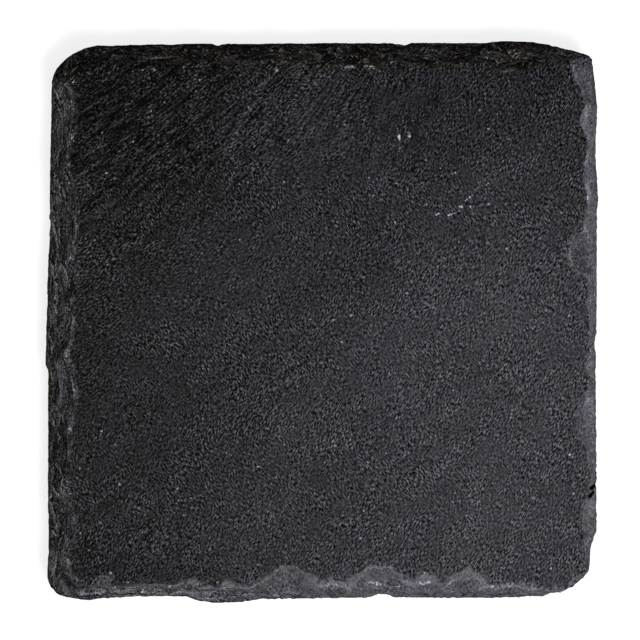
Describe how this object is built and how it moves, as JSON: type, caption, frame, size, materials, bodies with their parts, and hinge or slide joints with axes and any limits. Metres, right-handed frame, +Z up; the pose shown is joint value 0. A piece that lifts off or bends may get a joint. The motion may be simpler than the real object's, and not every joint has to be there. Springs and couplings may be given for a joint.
{
  "type": "drink coaster",
  "caption": "Square riven slate coaster with hand-dressed, flaked edges, standing on stuck-on foam feet; holds a glass or cup off the table.",
  "frame": {"origin": "on the table, under the middle of the tile", "axes": "+X to the right, +Y away from the user, +Z up; the longer side of the tile lies along Y"},
  "size_m": [0.1, 0.1016, 0.0072],
  "materials": {
    "slate": "matt riven stone with a faint sheen, near-black grey",
    "foot_foam": "matt black closed-cell foam",
    "adhesive": "pale translucent acrylic adhesive"
  },
  "bodies": {
    "root": {"slate_tile": "slate", "foot_front_left": "foot_foam", "foot_front_right": "foot_foam", "foot_back_right": "foot_foam", "foot_back_left": "foot_foam", "adhesive_front_left": "adhesive", "adhesive_front_right": "adhesive", "adhesive_back_right": "adhesive", "adhesive_back_left": "adhesive"}
  },
  "joints": []
}
